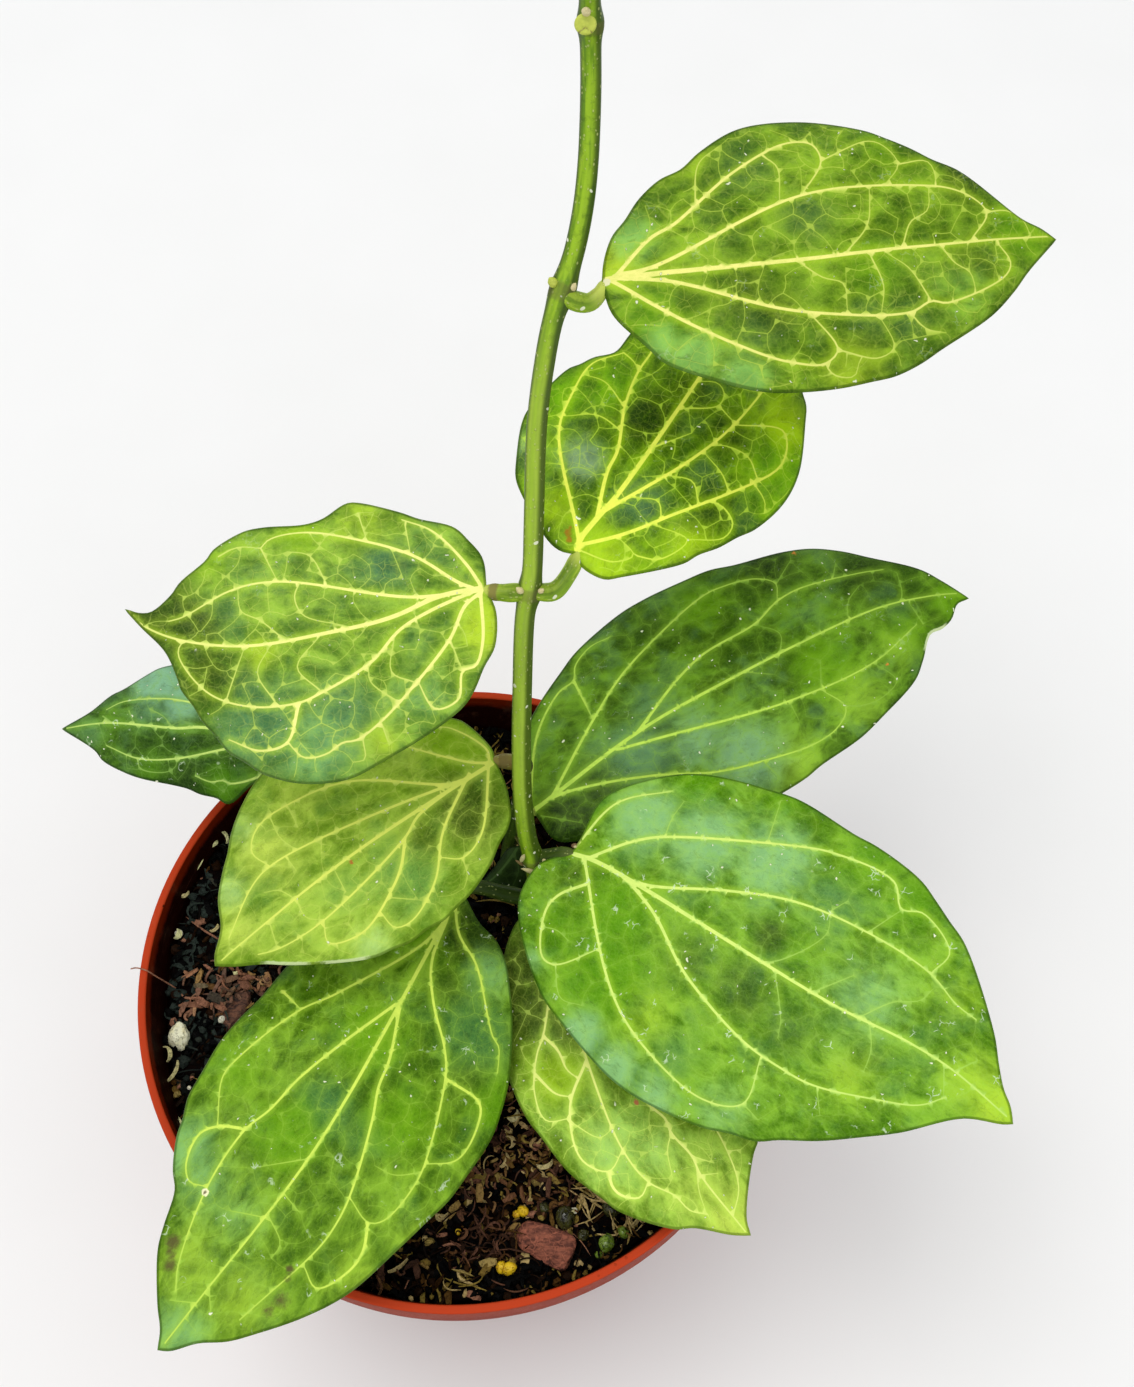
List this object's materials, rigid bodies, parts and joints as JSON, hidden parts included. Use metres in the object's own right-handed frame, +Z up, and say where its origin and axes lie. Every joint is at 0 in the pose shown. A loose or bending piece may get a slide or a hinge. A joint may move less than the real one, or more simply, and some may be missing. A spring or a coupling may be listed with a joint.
{
  "type": "potted hoya plant",
  "caption": "Climbing hoya with large leathery net-veined leaves on a slim stem, growing in a tapered round nursery pot filled with dark potting mix.",
  "frame": {"origin": "middle of the pot's flat underside", "axes": "+Z up through the pot, -Y towards the side that the picture was taken from, +X to that viewer's right"},
  "size_m": [0.1991, 0.1991, 0.3012],
  "materials": {
    "pot": "terracotta-coloured plastic, smooth with a low sheen",
    "potting_mix": "dark moist mix of bark, fibre and grit",
    "bark": "rough red-brown bark",
    "perlite": "chalky white porous grain",
    "stem": "smooth green stem with pale streaks and brown nodes",
    "shoot": "smooth darker green stem",
    "leaf_upper_right": "leathery waxy green blade with paler veins, satin gloss",
    "leaf_middle_right": "leathery waxy green blade with paler veins, satin gloss",
    "leaf_middle_left": "leathery waxy green blade with paler veins, satin gloss",
    "leaf_far_left": "leathery waxy green blade with paler veins, satin gloss",
    "leaf_lower_left": "leathery waxy green blade with paler veins, satin gloss",
    "leaf_front_left": "leathery waxy green blade with paler veins, satin gloss",
    "leaf_front": "leathery waxy green blade with paler veins, satin gloss",
    "leaf_front_right": "leathery waxy green blade with paler veins, satin gloss",
    "leaf_back_right": "leathery waxy green blade with paler veins, satin gloss",
    "leaf_small": "leathery waxy green blade with paler veins, satin gloss"
  },
  "bodies": {
    "root": {"pot": "pot", "potting_mix": "potting_mix", "bark_chip": "bark", "bark_flake": "bark", "perlite_lump": "perlite", "main_stem": "stem", "rear_shoot": "shoot", "side_shoot": "shoot", "leaf_upper_right": "leaf_upper_right", "leaf_middle_right": "leaf_middle_right", "leaf_middle_left": "leaf_middle_left", "leaf_far_left": "leaf_far_left", "leaf_lower_left": "leaf_lower_left", "leaf_front_left": "leaf_front_left", "leaf_front": "leaf_front", "leaf_front_right": "leaf_front_right", "leaf_back_right": "leaf_back_right", "leaf_small": "leaf_small"}
  },
  "joints": []
}
